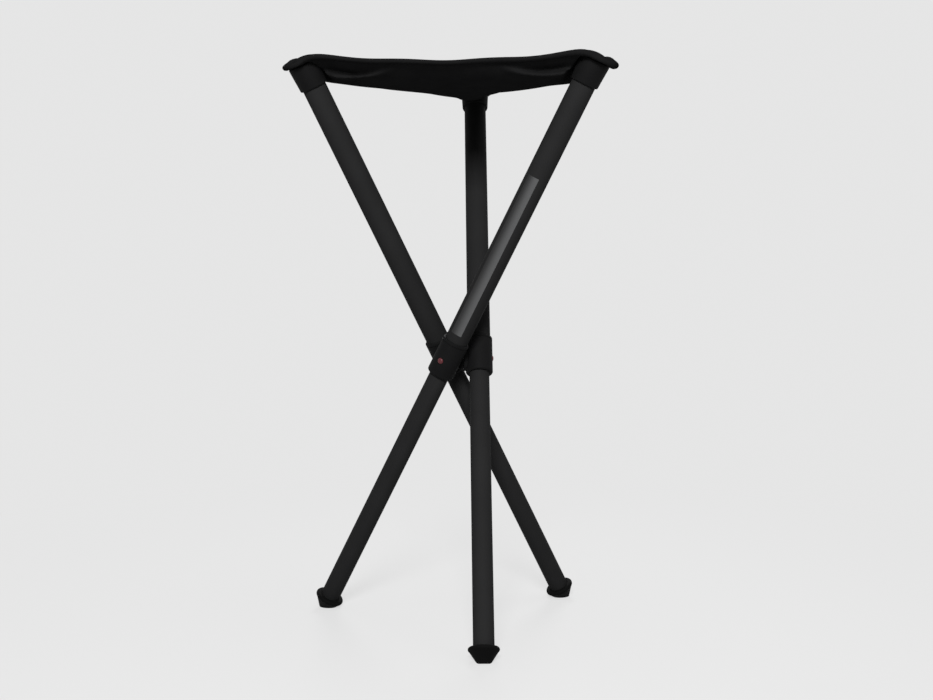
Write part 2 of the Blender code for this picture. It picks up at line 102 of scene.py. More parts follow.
def turnProfile(name, profile, sides=72, ring=False):
    # a circle extruded and scaled from point to point of (radius, height), then closed
    clearSelection()
    radius, height = profile[0]
    bpy.ops.mesh.primitive_circle_add(vertices=sides, radius=radius, location=(0, 0, height))
    piece = bpy.context.object
    piece.name = name
    bpy.ops.object.transform_apply(location=True, rotation=False, scale=False)
    bpy.ops.object.mode_set(mode="EDIT")
    bpy.ops.mesh.select_all(action="SELECT")
    for (fromRadius, fromHeight), (toRadius, toHeight) in zip(profile, profile[1:]):
        bpy.ops.mesh.extrude_region_move(TRANSFORM_OT_translate={"value": (0, 0, toHeight - fromHeight)})
        share = toRadius / fromRadius
        bpy.ops.transform.resize(value=(share, share, 1), center_override=(0, 0, toHeight))
    bpy.ops.mesh.select_all(action="SELECT")
    bpy.ops.mesh.remove_doubles(threshold=weldDistance)
    if not ring:
        bpy.ops.mesh.fill_holes(sides=0)
    bpy.ops.mesh.normals_make_consistent(inside=False)
    bpy.ops.object.mode_set(mode="OBJECT")
    return piece


def layAlongX(piece, outward=True):
    # turns a piece made along z so that it points along +x, or -x
    pick(piece)
    piece.rotation_euler = (0, math.radians(90 if outward else -90), 0)
    bpy.ops.object.transform_apply(location=False, rotation=True, scale=False)


def shapeWith(piece, tool, operation):
    # joins a tool shape to a piece, or cuts it out
    step = piece.modifiers.new("shape", "BOOLEAN")
    step.operation = operation
    step.solver = "EXACT"
    step.object = tool
    pick(piece)
    bpy.ops.object.modifier_apply(modifier=step.name)
    bpy.data.objects.remove(tool, do_unlink=True)


def softenEdges(piece, width, steps=3, fromAngle=35):
    edge = piece.modifiers.new("edges", "BEVEL")
    edge.width = width
    edge.segments = steps
    edge.limit_method = "ANGLE"
    edge.angle_limit = math.radians(fromAngle)
    pick(piece)
    bpy.ops.object.modifier_apply(modifier=edge.name)


def smooth(piece, angle=40):
    pick(piece)
    bpy.ops.object.shade_smooth_by_angle(angle=math.radians(angle))


def addThickness(piece, thickness, offset):
    wall = piece.modifiers.new("thickness", "SOLIDIFY")
    wall.thickness = thickness
    wall.offset = offset
    pick(piece)
    bpy.ops.object.modifier_apply(modifier=wall.name)


def giveFinish(piece, finish):
    piece.data.materials.clear()
    piece.data.materials.append(finish)


def onEachLeg(master, name, body, node, finish):
    # one copy of the piece for each leg, each with its own mesh
    for leg in legNames:
        piece = bpy.data.objects.new(f"{name}_{leg}", master.data.copy())
        bpy.context.scene.collection.objects.link(piece)
        piece.data.transform(legPlace[leg])
        giveFinish(piece, finish)
        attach(piece, f"{body}_{leg}")
        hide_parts(f"{node}_{leg}")
    bpy.data.objects.remove(master, do_unlink=True)
    print(name, "on every leg")


# finishes

def newGroup(name, inputs, outputs):
    group = bpy.data.node_groups.new(name, "ShaderNodeTree")
    for label, value in inputs.items():
        socket = group.interface.new_socket(name=label, in_out="INPUT", socket_type="NodeSocketFloat")
        socket.default_value = value
    for label in outputs:
        group.interface.new_socket(name=label, in_out="OUTPUT", socket_type="NodeSocketFloat")
    return group, group.nodes.new("NodeGroupInput"), group.nodes.new("NodeGroupOutput")


def addMath(tree, operation, first, second=None):
    node = tree.nodes.new("ShaderNodeMath")
    node.operation = operation
    for socket, value in zip(node.inputs, (first, second)):
        if value is None:
            continue
        if isinstance(value, (int, float)):
            socket.default_value = value
        else:
            tree.links.new(value, socket)
    return node.outputs[0]


grainInputs = {"Fine Scale": 900.0, "Broad Scale": 30.0}
grainDetail = {"Grain": 3.0, "Tone": 4.0}


def grainGroup():
    # fine moulding or coating grain, and broad uneven tone, on object coordinates
    group, given, result = newGroup("surfaceGrain", grainInputs, grainDetail)
    place = group.nodes.new("ShaderNodeTexCoord")
    for scale, output in zip(grainInputs, grainDetail):
        noise = group.nodes.new("ShaderNodeTexNoise")
        noise.inputs["Detail"].default_value = grainDetail[output]
        group.links.new(place.outputs["Object"], noise.inputs["Vector"])
        group.links.new(given.outputs[scale], noise.inputs["Scale"])
        group.links.new(noise.outputs["Fac"], result.inputs[output])
    return group


weaveInputs = {"Thread Pitch": 0.0009}
unevenThread = {"scale": 45.0, "detail": 5.0}


def weaveGroup():
    # plain weave on the cloth's own flat map, in metres
    group, given, result = newGroup("plainWeave", weaveInputs, ("Height", "Shade"))
    flat = group.nodes.new("ShaderNodeUVMap")
    flat.uv_map = "UVMap"
    parts = group.nodes.new("ShaderNodeSeparateXYZ")
    group.links.new(flat.outputs["UV"], parts.inputs["Vector"])
    turn = addMath(group, "DIVIDE", math.pi, given.outputs["Thread Pitch"])
    waves = []
    for axis in ("X", "Y"):
        angle = addMath(group, "MULTIPLY", parts.outputs[axis], turn)
        waves.append(addMath(group, "SINE", angle))
    crossing = addMath(group, "MULTIPLY", waves[0], waves[1])
    group.links.new(crossing, result.inputs["Height"])
    uneven = group.nodes.new("ShaderNodeTexNoise")
    uneven.inputs["Scale"].default_value = unevenThread["scale"]
    uneven.inputs["Detail"].default_value = unevenThread["detail"]
    group.links.new(flat.outputs["UV"], uneven.inputs["Vector"])
    group.links.new(uneven.outputs["Fac"], result.inputs["Shade"])
    return group


surfaceGrain = grainGroup()
plainWeave = weaveGroup()


def newFinish(name):
    finish = bpy.data.materials.new(name)
    finish.use_nodes = True
    tree = finish.node_tree
    return finish, tree, tree.nodes["Principled BSDF"]


def addGroup(tree, group, **values):
    node = tree.nodes.new("ShaderNodeGroup")
    node.node_tree = group
    for label, value in values.items():
        node.inputs[label.replace("_", " ")].default_value = value
    return node


def mixColours(tree, factor, dark, light):
    mix = tree.nodes.new("ShaderNodeMix")
    mix.data_type = "RGBA"
    mix.inputs["A"].default_value = (*dark, 1)
    mix.inputs["B"].default_value = (*light, 1)
    tree.links.new(factor, mix.inputs["Factor"])
    return mix.outputs["Result"]


noiseRange = (0.3, 0.7)  # where most of a noise's values lie


def spread(tree, value, low, high):
    node = tree.nodes.new("ShaderNodeMapRange")
    node.inputs["From Min"].default_value, node.inputs["From Max"].default_value = noiseRange
    node.inputs["To Min"].default_value = low
    node.inputs["To Max"].default_value = high
    tree.links.new(value, node.inputs["Value"])
    return node.outputs["Result"]


def bump(tree, height, distance, strength, shader):
    node = tree.nodes.new("ShaderNodeBump")
    node.inputs["Distance"].default_value = distance
    node.inputs["Strength"].default_value = strength
    tree.links.new(height, node.inputs["Height"])
    tree.links.new(node.outputs["Normal"], shader.inputs["Normal"])


def grainedFinish(name, look):
    # coating, plastic, rubber and metal: a grain in the normal, uneven tone in colour and roughness
    finish, tree, shader = newFinish(name)
    grain = addGroup(tree, surfaceGrain, Fine_Scale=look["fineScale"], Broad_Scale=look["broadScale"])
    colour = mixColours(tree, spread(tree, grain.outputs["Tone"], 0, 1), look["dark"], look["light"])
    tree.links.new(colour, shader.inputs["Base Color"])
    low, high = look["roughness"]
    tree.links.new(spread(tree, grain.outputs["Tone"], low, high), shader.inputs["Roughness"])
    bump(tree, grain.outputs["Grain"], look["depth"], look["strength"], shader)
    shader.inputs["Metallic"].default_value = look.get("metallic", 0.0)
    shader.inputs["Specular IOR Level"].default_value = look.get("specular", 0.5)
    return finish


def clothFinish(name, look):
    finish, tree, shader = newFinish(name)
    weave = addGroup(tree, plainWeave, Thread_Pitch=look["pitch"])
    colour = mixColours(tree, spread(tree, weave.outputs["Shade"], 0, 1), look["dark"], look["light"])
    tree.links.new(colour, shader.inputs["Base Color"])
    low, high = look["roughness"]
    tree.links.new(spread(tree, weave.outputs["Shade"], low, high), shader.inputs["Roughness"])
    bump(tree, weave.outputs["Height"], look["depth"], look["strength"], shader)
    shader.inputs["Specular IOR Level"].default_value = look["specular"]
    return finish


tubeLook = {"dark": (0.0178, 0.0178, 0.0181), "light": (0.0220, 0.0220, 0.0223), "roughness": (0.62, 0.72),
            "fineScale": 1500.0, "broadScale": 18.0, "depth": 0.00005, "strength": 0.25, "specular": 0.02}
mouldLook = {"dark": (0.0058, 0.0058, 0.0060), "light": (0.0078, 0.0078, 0.0080), "roughness": (0.62, 0.72),
             "fineScale": 1100.0, "broadScale": 60.0, "depth": 0.0001, "strength": 0.35, "specular": 0.05}
rubberLook = {"dark": (0.0030, 0.0030, 0.0030), "light": (0.0048, 0.0048, 0.0048), "roughness": (0.75, 0.88),
              "fineScale": 700.0, "broadScale": 90.0, "depth": 0.0001, "strength": 0.4, "specular": 0.05}
buttonLook = {"dark": (0.085, 0.014, 0.018), "light": (0.105, 0.020, 0.024), "roughness": (0.26, 0.32),
              "fineScale": 600.0, "broadScale": 200.0, "depth": 0.00003, "strength": 0.2, "specular": 0.3}
nylonLook = {"dark": (0.04, 0.04, 0.04), "light": (0.06, 0.06, 0.06), "roughness": (0.5, 0.6),
             "fineScale": 800.0, "broadScale": 80.0, "depth": 0.00005, "strength": 0.3}
steelLook = {"dark": (0.40, 0.40, 0.41), "light": (0.50, 0.50, 0.51), "roughness": (0.28, 0.40),
             "fineScale": 1800.0, "broadScale": 120.0, "depth": 0.00003, "strength": 0.3, "metallic": 1.0}
seatLook = {"dark": (0.0120, 0.0120, 0.0123), "light": (0.0148, 0.0148, 0.0151), "roughness": (0.85, 0.95),
            "pitch": 0.0009, "depth": 0.00012, "strength": 0.5, "specular": 0.0}
hemLook = {"dark": (0.0092, 0.0092, 0.0094), "light": (0.0118, 0.0118, 0.0121), "roughness": (0.80, 0.90),
           "pitch": 0.0007, "depth": 0.00012, "strength": 0.5, "specular": 0.0}
threadLook = {"dark": (0.010, 0.010, 0.010), "light": (0.014, 0.014, 0.014), "roughness": (0.55, 0.7),
              "fineScale": 2500.0, "broadScale": 200.0, "depth": 0.00005, "strength": 0.5, "specular": 0.2}

satinTube = grainedFinish("satinTube", tubeLook)
mouldedBlack = grainedFinish("mouldedBlack", mouldLook)
softRubber = grainedFinish("softRubber", rubberLook)
buttonRed = grainedFinish("buttonRed", buttonLook)
nylonGrey = grainedFinish("nylonGrey", nylonLook)
springSteel = grainedFinish("springSteel", steelLook)
seatCloth = clothFinish("seatCloth", seatLook)
hemCloth = clothFinish("hemCloth", hemLook)
sewingThread = grainedFinish("sewingThread", threadLook)
print("finishes made")

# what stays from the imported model, inside the fittings
keptFinish = {"hub_core": mouldedBlack}
for leg in legNames:
    keptFinish["corner_plug_" + leg] = mouldedBlack
    keptFinish["guide_bush_" + leg] = nylonGrey
    keptFinish["pivot_screw_" + leg] = springSteel
for node, finish in keptFinish.items():
    giveFinish(frame["nodes"][node], finish)


# tubes

tubeSizes = {"upperRadius": 0.0125, "upperLow": 0.0083, "upperHigh": 0.3457,
             "lowerRadius": 0.01075, "lowerLow": -0.3201, "lowerHigh": 0.046,
             "wall": 0.0012, "edge": 0.0003, "studHole": 0.0044, "holeSides": 32}


def makeTube(name, radius, low, high):
    bore = radius - tubeSizes["wall"]
    section = [(bore, low), (radius, low), (radius, high), (bore, high), (bore, low)]
    tube = turnProfile(name, section, ring=True)
    softenEdges(tube, tubeSizes["edge"], steps=2)
    return tube


def makeTubes():
    s = tubeSizes
    upper = makeTube("upperMaster", s["upperRadius"], s["upperLow"], s["upperHigh"])
    smooth(upper)
    onEachLeg(upper, "outerTube", "upper_leg", "upper_tube", satinTube)
    lower = makeTube("lowerMaster", s["lowerRadius"], s["lowerLow"], s["lowerHigh"])
    hole = turnProfile("holeTool", [(s["studHole"], 0), (s["studHole"], toolReach)], sides=s["holeSides"])
    layAlongX(hole)
    shapeWith(lower, hole, "DIFFERENCE")
    smooth(lower)
    onEachLeg(lower, "slidingTube", "lower_leg", "lower_tube", satinTube)


makeTubes()


# moulded sleeves at the hub, with their red buttons

sleeveSizes = {"radius": 0.0146, "low": -0.018, "high": 0.024, "lowRound": 0.0022, "highRound": 0.0012,
               "guide": 0.01105, "socket": 0.0128, "socketFloor": 0.008,
               "grooveWide": 0.0009, "grooveFloor": 0.6, "grooveDeep": 0.0005, "groovePlace": 0.0206,
               "bossRadius": 0.009, "bossRoot": 0.0125, "bossFace": 0.0172, "bossLong": 1.6,
               "buttonHole": 0.0035, "wellRadius": 0.0044, "wellLedge": 0.01345,
               "screwHead": 0.0043, "screwSeat": 0.0137, "screwShank": 0.0023, "edge": 0.0004,
               "bossSides": 64, "holeSides": 48, "smooth": 30}


def sleeveProfile():
    s = sleeveSizes
    low, high, radius = s["low"], s["high"], s["radius"]
    profile = [(s["guide"], low)]
    profile += bend((radius - s["lowRound"], low + s["lowRound"]), s["lowRound"], -90, 0)
    groove, deep, half = s["groovePlace"], radius - s["grooveDeep"], s["grooveWide"] / 2
    floor = half * s["grooveFloor"]
    profile += [(radius, groove - half), (deep, groove - floor)]
    profile += [(deep, groove + floor), (radius, groove + half)]
    profile += bend((radius - s["highRound"], high - s["highRound"]), s["highRound"], 0, 90)
    profile += [(s["socket"], high), (s["socket"], s["socketFloor"])]
    profile += [(s["guide"], s["socketFloor"]), (s["guide"], low)]
    return profile


def steppedHole(name, wide, ledge, narrow, outward):
    # a cutter across the sleeve: wide from the axis to the ledge, narrow beyond it
    steps = [(wide, 0), (wide, ledge), (narrow, ledge), (narrow, toolReach)]
    tool = turnProfile(name, steps, sides=sleeveSizes["holeSides"])
    layAlongX(tool, outward)
    return tool


def makeSleeves():
    s = sleeveSizes
    sleeve = turnProfile("sleeveMaster", sleeveProfile(), ring=True)
    bossEnds = [(s["bossRadius"], s["bossRoot"]), (s["bossRadius"], s["bossFace"])]
    boss = turnProfile("bossTool", bossEnds, sides=s["bossSides"])
    softenEdges(boss, s["edge"])
    layAlongX(boss, outward=False)
    bpy.ops.transform.resize(value=(1, 1, s["bossLong"]), center_override=(0, 0, 0))
    bpy.ops.object.transform_apply(location=True, rotation=True, scale=True)
    shapeWith(sleeve, boss, "UNION")
    well = steppedHole("wellTool", s["wellRadius"], s["wellLedge"], s["buttonHole"], outward=True)
    shapeWith(sleeve, well, "DIFFERENCE")
    screw = steppedHole("screwTool", s["screwHead"], s["screwSeat"], s["screwShank"], outward=False)
    shapeWith(sleeve, screw, "DIFFERENCE")
    smooth(sleeve, s["smooth"])
    onEachLeg(sleeve, "hubSleeve", "upper_leg", "sleeve", mouldedBlack)


buttonSizes = {"rest": 0.01255, "flange": 0.0041, "flangeHigh": 0.0006, "stem": 0.0032, "crown": 0.0156,
               "dome": 0.0010, "domeSteps": 8, "domeTip": 0.05, "round": 0.0004, "roundAngle": 60,
               "roundSteps": 4, "sides": 48}


def makeButtons():
    b = buttonSizes
    top, steps = b["crown"], b["domeSteps"]
    profile = [(b["flange"], b["rest"]), (b["flange"], b["rest"] + b["flangeHigh"]),
               (b["stem"], b["rest"] + b["flangeHigh"])]
    rim = b["stem"] - b["round"]
    roundMiddle = (rim, top - b["dome"] - b["round"])
    profile += bend(roundMiddle, b["round"], 0, b["roundAngle"], b["roundSteps"])
    for i in range(1, steps):
        angle = math.radians(90 * i / steps)
        profile.append((rim * math.cos(angle), top - b["dome"] * (1 - math.sin(angle))))
    profile.append((rim * b["domeTip"], top))
    button = turnProfile("buttonMaster", profile, sides=b["sides"])
    layAlongX(button)
    smooth(button)
    onEachLeg(button, "redButton", "button", "release_button", buttonRed)


makeSleeves()
makeButtons()


# spring clips inside the lower tubes, with the stud drawn in far enough to run inside the upper tubes

clipSizes = {"reach": 0.00858, "thick": 0.0007, "wide": 0.007, "low": -0.014, "high": 0.022,
             "stud": 0.0041, "studHigh": 0.0102, "edge": 0.0003, "bendSteps": 16, "studSides": 32}


def makeClips():
    c = clipSizes
    arm, rise = c["reach"] - c["thick"] / 2, c["high"] - c["low"]
    clearSelection()
    bpy.ops.mesh.primitive_plane_add(size=1, location=(arm, 0, c["low"]))
    clip = bpy.context.object
    clip.scale = (c["thick"], c["wide"], 1)
    bpy.ops.object.transform_apply(location=True, rotation=False, scale=True)
    startEditing(clip)
    bpy.ops.mesh.extrude_region_move(TRANSFORM_OT_translate={"value": (0, 0, rise)})
    bpy.ops.mesh.spin(steps=c["bendSteps"], angle=math.pi, center=(0, 0, c["high"]), axis=(0, 1, 0))
    bpy.ops.mesh.extrude_region_move(TRANSFORM_OT_translate={"value": (0, 0, -rise)})
    bpy.ops.mesh.select_all(action="SELECT")
    bpy.ops.mesh.remove_doubles(threshold=weldDistance)
    bpy.ops.mesh.normals_make_consistent(inside=False)
    bpy.ops.object.mode_set(mode="OBJECT")
    studEnds = [(c["stud"], arm), (c["stud"], c["studHigh"] - c["edge"]),
                (c["stud"] - c["edge"], c["studHigh"])]
    stud = turnProfile("studShape", studEnds, sides=c["studSides"])
    layAlongX(stud)
    shapeWith(clip, stud, "UNION")
    smooth(clip)
    onEachLeg(clip, "lockClip", "lower_leg", "lock_clip", springSteel)


makeClips()


# top caps

capSizes = {"low": 0.3244, "high": 0.3504, "edgeRadius": 0.01475, "topRadius": 0.016, "bore": 0.0128,
            "round": 0.0014, "roof": 0.0044, "stemHole": 0.0053, "smooth": 30}


def makeCaps():
    c = capSizes
    low, high = c["low"], c["high"]
    roof = high - c["roof"]
    profile = [(c["bore"], low)]
    profile += bend((c["edgeRadius"] - c["round"], low + c["round"]), c["round"], -90, 0)
    profile += bend((c["topRadius"] - c["round"], high - c["round"]), c["round"], 0, 90)
    profile += [(c["stemHole"], high), (c["stemHole"], roof), (c["bore"], roof), (c["bore"], low)]
    cap = turnProfile("capMaster", profile, ring=True)
    smooth(cap, c["smooth"])
    onEachLeg(cap, "topCap", "upper_leg", "top_cap", mouldedBlack)


makeCaps()


# rubber feet, cut flat by the floor

footSizes = {"middle": -0.3159, "ringRadius": 0.016, "ringRound": 0.0024, "tip": 0.0145, "tipRadius": 0.0065,
             "neckRadius": 0.0123, "neck": 0.0026, "mouth": 0.01105, "socket": 0.0071, "edge": 0.0005,
             "ringArc": (-60, 75), "ringSteps": 10, "edgeAngle": 50, "smooth": 35}


def makeFeet():
    f = footSizes
    middle, ringRound = f["middle"], f["ringRound"]
    top = middle + f["neck"]
    profile = [(f["tipRadius"], middle - f["tip"])]
    profile += bend((f["ringRadius"] - ringRound, middle), ringRound, *f["ringArc"], f["ringSteps"])
    profile += [(f["neckRadius"], top), (f["mouth"], top), (f["mouth"], top - f["socket"])]
    foot = turnProfile("footMaster", profile)
    fromFloor = legPlace["c"].inverted()
    startEditing(foot)
    bpy.ops.mesh.bisect(plane_co=fromFloor.translation, plane_no=fromFloor.to_3x3() @ Vector((0, 0, 1)),
                        use_fill=True, clear_inner=True)
    bpy.ops.object.mode_set(mode="OBJECT")
    softenEdges(foot, f["edge"], fromAngle=f["edgeAngle"])
    smooth(foot, f["smooth"])
    onEachLeg(foot, "rubberFoot", "lower_leg", "foot", softRubber)


makeFeet()


# seat

seatSizes = {"plugRadius": 0.0165, "plugCrown": 0.005, "plugReach": 0.3507, "cornerRise": 0.0031,
             "runRadius": 0.0200, "turn": math.radians(68), "edgeDip": 0.0056, "sag": 0.0235, "hump": 0.015,
             "tentSlope": 1.7, "dropSlope": 1.27, "rest": -0.0002, "runOn": 0.0022, "blend": 0.004,
             "edgeBowl": 2.6, "bowlSpread": 0.3, "bowlSoft": 7, "dipPower": 4, "thickness": 0.0012,
             "tuck": 0.0020, "hold": (0.95, 1.0), "cornerSteps": 28, "edgeSteps": 96, "rows": 72,
             "rowPower": 1.25, "waveHigh": 0.0009, "waveCount": 3, "swellAt": 0.024, "smooth": 60}
swellHigh = {"a": 0.0035, "b": 0.0021, "c": 0.0036}  # rise of the hem beside each leg top
tipPull = {"a": 0.0036, "b": 0.0, "c": 0.0012}  # how far the hem is drawn in at each tip
cornerBowl = {"a": 2.0, "b": 5.0, "c": 0.6}  # how much flatter the sag runs on towards each leg top
foldSizes = {"start": 0.001, "end": 0.100, "drop": 0.0130, "least": 0.0050, "push": 0.0110, "wide": 0.0033,
             "pull": 0.0075, "hollow": 0.55, "hollowWide": 0.0042, "free": 0.004, "inset": (0.022, 0.036),
             "beside": (0.006, 0.016), "begin": (0.0, 0.1), "pushFade": (0.65, 1.0),
             "pullFade": (0.45, 0.90)}
foldShare = {"a": 1.0, "b": 1.0, "c": 0.35}  # how strongly the cloth is drawn at each corner
cornerOrder = ("c", "a", "b")
sz = seatSizes
domeRadius = (sz["plugRadius"] ** 2 + sz["plugCrown"] ** 2) / (2 * sz["plugCrown"])
domeReach = sz["plugReach"] + sz["plugCrown"] - domeRadius
cornerReach = sz["plugReach"] + sz["cornerRise"]
cornerSpot = {leg: legPlace[leg] @ Vector((0, 0, cornerReach)) for leg in legNames}
domeSpot = {leg: legPlace[leg] @ Vector((0, 0, domeReach)) for leg in legNames}
cornerHeight = cornerSpot["c"].z
middleHeight = cornerHeight - sz["sag"]
edgeHeight = cornerHeight - sz["edgeDip"]
legRise = legPlace["c"].to_3x3() @ Vector((0, 0, 1))


def cornerRun(leg, radius):
    # the hem's way round one leg top, with its directions at both ends
    turnTo = legPlace[leg].to_3x3()
    flat = cornerSpot[leg] - legPlace[leg].translation
    outward = turnTo @ Vector((1, 0, 0))
    downhill = turnTo @ Vector((0, 1, 0))
    level = Vector((-outward.y, outward.x, 0))
    offset = legPlace[leg].translation.to_2d().length
    middle = math.atan2(offset, flat.dot(level))
    points, ways = [], []
    for i in range(sz["cornerSteps"] + 1):
        angle = middle + sz["turn"] * (1 - 2 * i / sz["cornerSteps"])
        reach = radius - tipPull[leg] * math.cos(math.pi * (i / sz["cornerSteps"] - 0.5)) ** 2
        points.append(cornerSpot[leg] + reach * (math.cos(angle) * downhill + math.sin(angle) * outward))
        ways.append(math.sin(angle) * downhill - math.cos(angle) * outward)
    return points, ways[0], ways[-1]


def edgeRun(start, startWay, startSwell, end, endWay, endSwell):
    # one edge between two corners: bowed inward, a hump beside each corner, a slight wave between
    span = (end - start).to_2d().length
    startRise = startWay.z / startWay.to_2d().length
    endFall = -endWay.z / endWay.to_2d().length
    a, b = start.to_2d(), end.to_2d()
    out, back = startWay.to_2d().normalized() * span, endWay.to_2d().normalized() * span
    points = []
    for i in range(sz["edgeSteps"] + 1):
        t = i / sz["edgeSteps"]
        flat = ((2 * t ** 3 - 3 * t ** 2 + 1) * a + (t ** 3 - 2 * t ** 2 + t) * out
                + (3 * t ** 2 - 2 * t ** 3) * b + (t ** 3 - t ** 2) * back)
        ends = (1 - t) * start.z + t * end.z
        dip = (edgeHeight - ends) * (1 - (2 * t - 1) ** sz["dipPower"])
        near, far = t * span, (1 - t) * span
        hump = startRise * near * math.exp(-near / sz["hump"]) + endFall * far * math.exp(-far / sz["hump"])
        for high, gap in ((startSwell, near), (endSwell, far)):
            hump += high * gap / sz["swellAt"] * math.exp(1 - gap / sz["swellAt"])
        beat = math.cos(2 * math.pi * sz["waveCount"] * (t - 0.5))
        wave = sz["waveHigh"] * math.sin(math.pi * t) ** 2 * beat
        points.append(Vector((*flat, ends + dip + hump - wave)))
    return points


def rimSectors(inset):
    # the seat's edge in three runs, each from mid edge round a corner to the next mid edge
    runs = {leg: cornerRun(leg, sz["runRadius"] - inset) for leg in cornerOrder}
    edges = {}
    for i, leg in enumerate(cornerOrder):
        following = cornerOrder[(i + 1) % 3]
        edges[leg] = edgeRun(runs[leg][0][-1], runs[leg][2], swellHigh[leg],
                             runs[following][0][0], runs[following][1], swellHigh[following])
    half = sz["edgeSteps"] // 2
    sectors = {}
    for i, leg in enumerate(cornerOrder):
        before = edges[cornerOrder[i - 1]]
        sectors[leg] = before[half:] + runs[leg][0][1:-1] + edges[leg][:half + 1]
    return sectors


clothRims = rimSectors(sz["tuck"])
clothEdge = [point for rim in clothRims.values() for point in rim]
edgeFinder = KDTree(len(clothEdge))
for i, point in enumerate(clothEdge):
    edgeFinder.insert((point.x, point.y, 0), i)
edgeFinder.balance()


def softMax(a, b):
    gap = max(0.0, sz["blend"] - abs(a - b))
    return max(a, b) + gap ** 2 / (4 * sz["blend"])


def ease(low, high, value):
    t = min(1.0, max(0.0, (value - low) / (high - low)))
    return t * t * (3 - 2 * t)


def plugRim(outwardShare, sidewaysShare):
    # distance from the dome's middle to the plug's rim, seen from above, in one direction
    spread2d = legRise.to_2d().length
    shift = (domeRadius - sz["plugCrown"]) * spread2d
    long, wide = sz["plugRadius"] * legRise.z, sz["plugRadius"]
    curve = (outwardShare / long) ** 2 + (sidewaysShare / wide) ** 2
    lead = shift * outwardShare / long ** 2
    return (lead + math.sqrt(lead ** 2 + curve * (1 - (shift / long) ** 2))) / curve


def tentHeight(x, y, leg):
    # the cloth where it lies on a plug's dome and drops along the cap
    centre = domeSpot[leg]
    away = Vector((x, y)) - centre.to_2d()
    distance = away.length
    outward = centre.to_2d().normalized()
    way = away / distance if distance > weldDistance else outward
    outwardShare = way.dot(outward)
    slope = sz["tentSlope"] + (sz["dropSlope"] - sz["tentSlope"]) * ((1 + outwardShare) / 2) ** 2
    radius = domeRadius + sz["rest"] + sz["thickness"]
    leave = plugRim(outwardShare, way.cross(outward)) + sz["runOn"]
    return centre.z + math.sqrt(radius ** 2 - min(distance, leave) ** 2) - slope * max(0.0, distance - leave)


def foldShift(place):
    # the drawn fold beside each leg top: hollow under the hem, then a ridge that climbs to meet it
    f = foldSizes
    _, index, inset = edgeFinder.find((place.x, place.y, 0))
    drop = clothEdge[index].z - place.z
    near = ease(0.0, f["free"], inset) * (1 - ease(*f["inset"], inset))
    total = Vector((0, 0, 0))
    if near == 0:
        return total
    for leg in legNames:
        spot = cornerSpot[leg].to_2d()
        for other in legNames:
            if other == leg:
                continue
            along = (cornerSpot[other].to_2d() - spot).normalized()
            outward = (spot - spot.dot(along) * along).normalized()
            across = (along - along.dot(spot) / spot.dot(spot) * spot).normalized()
            away = place.to_2d() - spot
            part = (away.dot(along) - f["start"]) / (f["end"] - f["start"])
            if not 0 < part < 1:
                continue
            ridge = f["least"] + f["drop"] * (1 - part ** 3)
            strength = foldShare[leg] * near * ease(*f["beside"], away.dot(across)) * ease(*f["begin"], part)
            high = f["push"] * (1 - ease(*f["pushFade"], part))
            out = high * math.exp(-((drop - ridge) / f["wide"]) ** 2)
            deep = f["pull"] * (1 - ease(*f["pullFade"], part))
            back = deep * math.exp(-((drop - f["hollow"] * ridge) / f["hollowWide"]) ** 2)
            total += (strength * (out - back) * outward).to_3d()
    return total


def clothPoint(edge, share, bowl):
    # a point of the cloth, at a share of the way from the middle to a point of its edge
    x, y = share * edge.x, share * edge.y
    height = middleHeight + (edge.z - middleHeight) * share ** bowl
    for leg in legNames:
        height = softMax(height, tentHeight(x, y, leg))
    hold = ease(*sz["hold"], share)
    height = (1 - hold) * height + hold * edge.z
    place = Vector((x, y, height))
    return place + foldShift(place)


def formGrid(name, columns, rows, placeOf):
    # a grid laid out by a rule of (column, row)
    clearSelection()
    bpy.ops.mesh.primitive_grid_add(x_subdivisions=columns, y_subdivisions=rows, size=1, calc_uvs=True)
    sheet = bpy.context.object
    sheet.name = name
    for vert in sheet.data.vertices:
        column = round((vert.co.x + 0.5) * columns)
        row = round((vert.co.y + 0.5) * rows)
        vert.co = placeOf(column, row)
    return sheet


def weldAndTurn(piece):
    startEditing(piece)
    bpy.ops.mesh.remove_doubles(threshold=weldDistance)
    bpy.ops.mesh.normals_make_consistent(inside=False)
    bpy.ops.object.mode_set(mode="OBJECT")


def mapFlat(piece):
    # the flat map in metres, seen from above
    layer = piece.data.uv_layers.active.data
    for loop in piece.data.loops:
        layer[loop.index].uv = piece.data.vertices[loop.vertex_index].co.to_2d()


def blendSeat(piece):
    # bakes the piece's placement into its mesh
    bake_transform(piece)


def bowlPowers(rims):
    # how the sag rises to each point of the edge, evened out all the way round
    reaches = [point.to_2d().length for rim in rims.values() for point in rim]
    near, far = min(reaches), max(reaches)
    powers = []
    for leg in cornerOrder:
        for point in rims[leg][:-1]:
            part = max(0.0, (point.to_2d().length - near) / (far - near))
            powers.append(sz["edgeBowl"] + cornerBowl[leg] * part ** sz["bowlSpread"])
    soft = sz["bowlSoft"]
    weights = {step: math.exp(-0.5 * (step / soft) ** 2) for step in range(-3 * soft, 3 * soft + 1)}
    whole = sum(weights.values())
    count = len(powers)
    even = [sum(w * powers[(i + step) % count] for step, w in weights.items()) / whole for i in range(count)]
    taken, start = {}, 0
    for leg in cornerOrder:
        length = len(rims[leg])
        taken[leg] = [even[(start + i) % count] for i in range(length)]
        start += length - 1
    return taken


